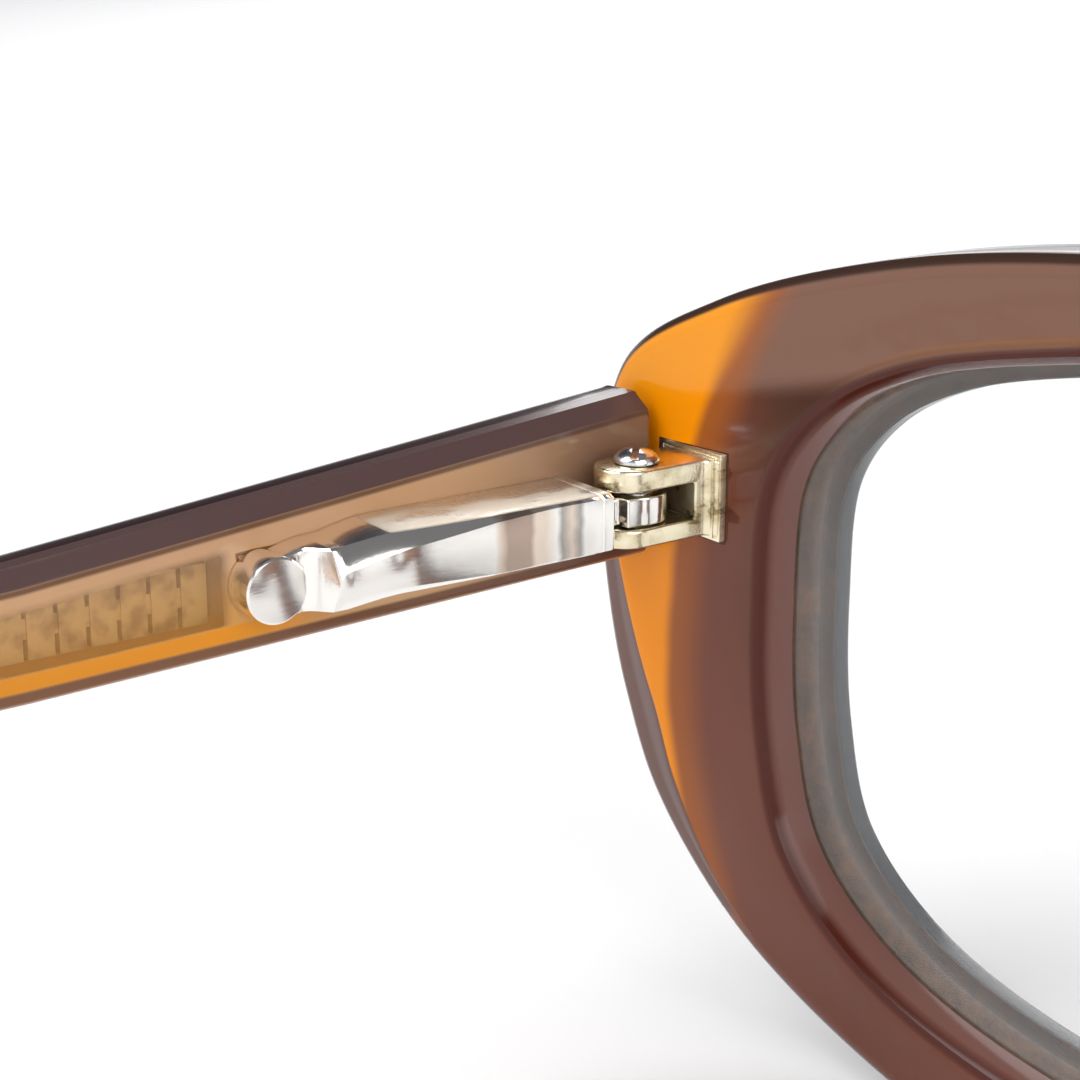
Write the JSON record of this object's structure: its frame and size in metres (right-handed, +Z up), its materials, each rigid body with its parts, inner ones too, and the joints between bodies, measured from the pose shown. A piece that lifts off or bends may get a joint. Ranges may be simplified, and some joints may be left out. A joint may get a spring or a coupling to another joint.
{
  "type": "eyeglasses",
  "caption": "Full-rim acetate eyeglasses with a wrapped front, clear lenses, glued nose pads and folding temples on sprung screw hinges.",
  "frame": {"origin": "middle of the footprint, on the surface that the rims and the temple tips stand on", "axes": "+Z up, -Y out of the front, +Y along the temples, +X to the wearer's left"},
  "size_m": [0.1444, 0.146, 0.0467],
  "materials": {
    "front_acetate": "polished laminated acetate, brown over amber",
    "temple_acetate": "polished laminated acetate, dark brown outside and translucent tan inside",
    "clear_lens": "clear, polished",
    "nickel_silver": "cast nickel silver, tumbled",
    "screw_steel": "turned steel",
    "spring_steel": "drawn spring wire",
    "polished_chrome": "polished, lightly worn",
    "core_brass": "stamped and dull",
    "nylon": "natural nylon"
  },
  "bodies": {
    "front": {"front_rim": "front_acetate", "lens_left": "clear_lens", "nose_pad_left": "front_acetate", "hinge_front_left": "nickel_silver", "hinge_screw_left": "screw_steel", "pivot_bush_left": "nylon", "lens_right": "clear_lens", "nose_pad_right": "front_acetate", "hinge_front_right": "nickel_silver", "hinge_screw_right": "screw_steel", "pivot_bush_right": "nylon"},
    "slider_left": {"hinge_slider_left": "nickel_silver"},
    "arm_left": {"temple_left": "temple_acetate", "core_wire_left": "core_brass", "spring_housing_left": "polished_chrome", "spring_stop_left": "screw_steel", "hinge_spring_left": "spring_steel"},
    "slider_right": {"hinge_slider_right": "nickel_silver"},
    "arm_right": {"temple_right": "temple_acetate", "core_wire_right": "core_brass", "spring_housing_right": "polished_chrome", "spring_stop_right": "screw_steel", "hinge_spring_right": "spring_steel"}
  },
  "joints": [
    {"name": "fold_left", "type": "hinge", "parent": "front", "child": "slider_left", "pos_m": [0.0645, -0.05971, 0.033], "axis": [0, 0, 1], "range_deg": [-8, 90]},
    {"name": "draw_left", "type": "slide", "parent": "slider_left", "child": "arm_left", "axis": [0, 1, 0], "range_m": [0, 0.0014], "stiffness_N_per_m": 2000, "springref_m": -0.002, "deforming": ["hinge_spring_left"]},
    {"name": "fold_right", "type": "hinge", "parent": "front", "child": "slider_right", "pos_m": [-0.0645, -0.05971, 0.033], "axis": [0, 0, -1], "range_deg": [-8, 80]},
    {"name": "draw_right", "type": "slide", "parent": "slider_right", "child": "arm_right", "axis": [0, 1, 0], "range_m": [0, 0.0014], "stiffness_N_per_m": 2000, "springref_m": -0.002, "deforming": ["hinge_spring_right"]}
  ]
}
